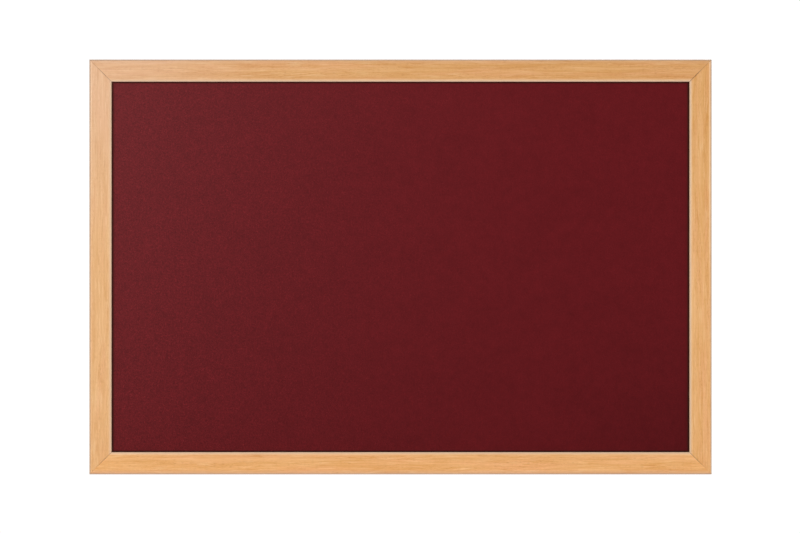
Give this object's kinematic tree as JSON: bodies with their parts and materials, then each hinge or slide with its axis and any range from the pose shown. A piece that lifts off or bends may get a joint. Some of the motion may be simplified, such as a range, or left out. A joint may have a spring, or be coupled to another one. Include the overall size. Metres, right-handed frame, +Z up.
{
  "type": "notice board",
  "caption": "Rectangular framed pin board: burgundy felt over a cork and softboard panel, in a mitred oak-effect frame with swinging D-ring wall hangers behind.",
  "frame": {"origin": "middle of the wall plane behind the hung board, which the bumpers' flats lie on; the board is centred on it", "axes": "+X to the right as seen from the front, +Z up in the landscape position, +Y into the wall, so the pinning face looks along -Y"},
  "size_m": [0.9, 0.023, 0.6],
  "materials": {
    "oak_foil": "pale oak-effect foil, satin, on fibreboard",
    "felt": "matt burgundy needle felt",
    "cork": "natural agglomerated cork",
    "softboard": "raw wood-fibre softboard",
    "hardboard": "brown hardboard, screen side out",
    "steel": "bright steel",
    "zinc": "bright zinc plate",
    "rubber": "matt moulded rubber"
  },
  "bodies": {
    "board": {"frame_rail_top": "oak_foil", "frame_rail_bottom": "oak_foil", "frame_stile_left": "oak_foil", "frame_stile_right": "oak_foil", "felt_face": "felt", "cork_sheet": "cork", "softboard_core": "softboard", "hardboard_back": "hardboard", "mitre_nails_top_left": "steel", "mitre_nails_top_right": "steel", "mitre_nails_bottom_left": "steel", "mitre_nails_bottom_right": "steel", "panel_points_top": "steel", "panel_points_bottom": "steel", "panel_points_left": "steel", "panel_points_right": "steel", "hanger_strap_left": "zinc", "hanger_strap_right": "zinc", "hanger_strap_top": "zinc", "hanger_strap_bottom": "zinc", "hanger_screws_left": "zinc", "hanger_screws_right": "zinc", "hanger_screws_top": "zinc", "hanger_screws_bottom": "zinc", "bumper_top_left": "rubber", "bumper_top_right": "rubber", "bumper_bottom_left": "rubber", "bumper_bottom_right": "rubber"},
    "ring_left": {"hanger_ring_left": "zinc"},
    "ring_right": {"hanger_ring_right": "zinc"},
    "ring_top": {"hanger_ring_top": "zinc"},
    "ring_bottom": {"hanger_ring_bottom": "zinc"}
  },
  "joints": [
    {"name": "ring_left_swing", "type": "hinge", "parent": "board", "child": "ring_left", "pos_m": [-0.43725, -0.003, 0.2], "axis": [-1, 0, 0], "range_deg": [0, 178]},
    {"name": "ring_right_swing", "type": "hinge", "parent": "board", "child": "ring_right", "pos_m": [0.43725, -0.003, 0.2], "axis": [-1, 0, 0], "range_deg": [0, 178]},
    {"name": "ring_top_swing", "type": "hinge", "parent": "board", "child": "ring_top", "pos_m": [-0.35, -0.003, 0.28725], "axis": [0, 0, -1], "range_deg": [0, 178]},
    {"name": "ring_bottom_swing", "type": "hinge", "parent": "board", "child": "ring_bottom", "pos_m": [-0.35, -0.003, -0.28725], "axis": [0, 0, -1], "range_deg": [0, 178]}
  ]
}
